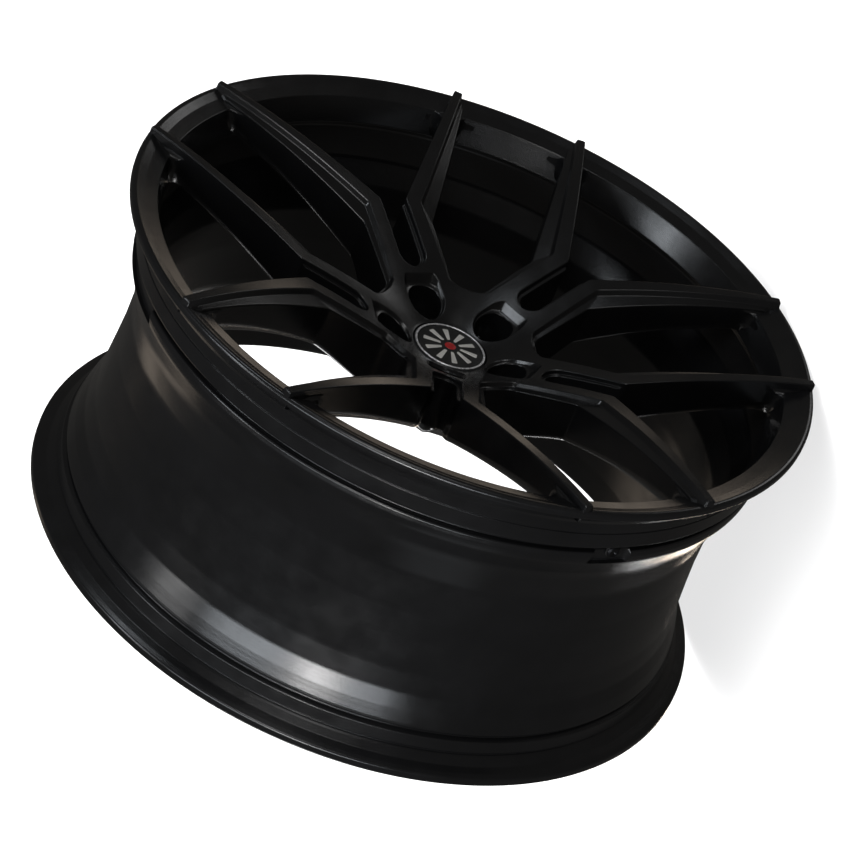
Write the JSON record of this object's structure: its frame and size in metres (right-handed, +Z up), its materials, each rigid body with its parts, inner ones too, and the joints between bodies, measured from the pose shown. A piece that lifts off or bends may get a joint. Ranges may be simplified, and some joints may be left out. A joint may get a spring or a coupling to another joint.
{
  "type": "road wheel rim",
  "caption": "Dark forged road wheel with paired flat-faced spokes in a shallow dish, a wide flanged barrel, a snap-in centre cap and an air valve.",
  "frame": {"origin": "on the wheel's axis, midway across its overall width", "axes": "+Y along the axis from the face towards the car, so the face looks towards -Y; +Z up, with one slot and one bolt hole straight above the axis"},
  "size_m": [0.594, 0.295, 0.594],
  "materials": {
    "wheel_paint": "satin black coating over forged aluminium",
    "cap_plastic": "satin black",
    "cap_chrome": "polished",
    "emblem_plastic": "gloss black with silver relief",
    "spring_steel": "drawn wire",
    "valve_metal": "dark anodised",
    "valve_rubber": "matt",
    "valve_brass": "machined"
  },
  "bodies": {
    "wheel": {"rim_barrel": "wheel_paint", "wheel_hub": "wheel_paint", "spoke_1": "wheel_paint", "spoke_2": "wheel_paint", "spoke_3": "wheel_paint", "spoke_4": "wheel_paint", "spoke_5": "wheel_paint", "spoke_6": "wheel_paint", "spoke_7": "wheel_paint", "spoke_8": "wheel_paint", "spoke_9": "wheel_paint", "spoke_10": "wheel_paint", "valve_stem": "valve_metal", "valve_grommet": "valve_rubber", "valve_washer": "valve_metal", "valve_nut": "valve_metal", "valve_core_body": "valve_brass", "valve_core_spring": "spring_steel"},
    "centre_cap": {"centre_cap_body": "cap_plastic", "centre_cap_ring": "cap_chrome", "centre_cap_emblem": "emblem_plastic", "centre_cap_spring": "spring_steel"},
    "valve_cap": {"valve_cap": "cap_plastic", "valve_cap_seal": "valve_rubber"},
    "valve_pin": {"valve_core_pin": "valve_brass"}
  },
  "joints": [
    {"name": "centre_cap_pull", "type": "slide", "parent": "wheel", "child": "centre_cap", "axis": [0, -1, 0], "range_m": [0, 0.03]},
    {"name": "valve_cap_off", "type": "slide", "parent": "wheel", "child": "valve_cap", "axis": [0.9511, 0, 0.309], "range_m": [0, 0.014]},
    {"name": "valve_pin_press", "type": "slide", "parent": "wheel", "child": "valve_pin", "axis": [-0.9511, 0, -0.309], "range_m": [0, 0.0009], "stiffness_N_per_m": 20, "springref_m": -0.0005, "deforming": ["valve_core_spring"]}
  ]
}
